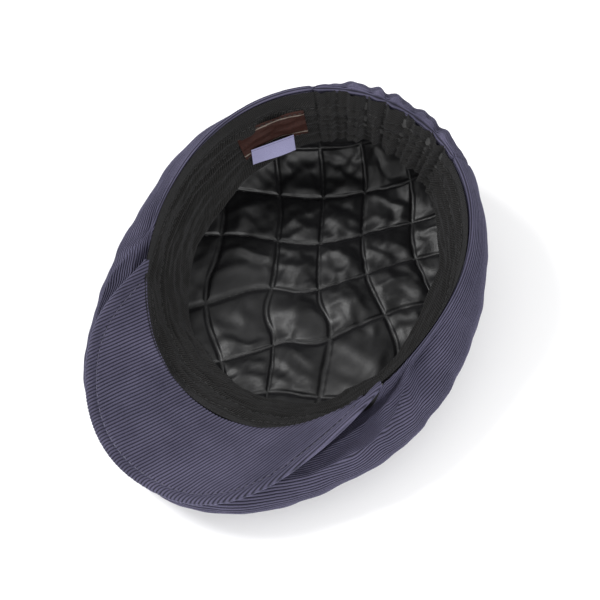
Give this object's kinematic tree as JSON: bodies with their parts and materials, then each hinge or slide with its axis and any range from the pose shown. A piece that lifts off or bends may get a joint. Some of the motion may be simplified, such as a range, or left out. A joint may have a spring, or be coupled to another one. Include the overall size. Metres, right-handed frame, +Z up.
{
  "type": "flat cap",
  "caption": "Corduroy flat cap lying on its crown, opening up, with a curved stiff brim, quilted satin lining, black sweatband and a gathered elastic back.",
  "frame": {"origin": "middle of the cap's length and width, on the surface that it lies on, under its upturned crown", "axes": "+Y from the brim towards the elastic back, +Z up out of the head opening, X across the cap"},
  "size_m": [0.2, 0.2662, 0.0915],
  "materials": {
    "corduroy": "cotton corduroy, slate blue-violet, fine wales",
    "twill_band": "black cotton twill",
    "satin_lining": "black glossy satin, quilted",
    "wadding": "white polyester wadding",
    "brim_board": "stiff moulded board",
    "elastic": "black ribbed elastic",
    "thread": "polyester sewing thread",
    "woven_label": "dark brown woven tape",
    "care_label": "lilac satin tape"
  },
  "bodies": {
    "cap": {"top_panel": "corduroy", "side_panel_left": "corduroy", "side_panel_right": "corduroy", "brim_under_cover": "corduroy", "brim_board": "brim_board", "brim_top_cover": "corduroy", "brim_edge_stitching": "thread", "crown_lining": "satin_lining", "wall_lining": "satin_lining", "crown_wadding": "wadding", "quilting_stitches": "thread", "sweatband": "twill_band", "rim_facing": "twill_band", "sweatband_upper_stitches": "thread", "sweatband_lower_stitches": "thread", "brand_label": "woven_label", "brand_label_stitches": "thread"},
    "elastic_back": {"back_panel": "corduroy", "elastic_casing": "twill_band", "back_facing": "twill_band", "elastic_band": "elastic", "casing_stitches": "thread"},
    "care_label": {"care_label": "care_label"}
  },
  "joints": [
    {"name": "back_stretch", "type": "slide", "parent": "cap", "child": "elastic_back", "axis": [0, 1, 0], "range_m": [0, 0.01], "stiffness_N_per_m": 180},
    {"name": "care_label_flap", "type": "hinge", "parent": "cap", "child": "care_label", "pos_m": [-0.0546, 0.0722, 0.0605], "axis": [-0.6691, -0.7431, 0], "range_deg": [0, 100]}
  ]
}
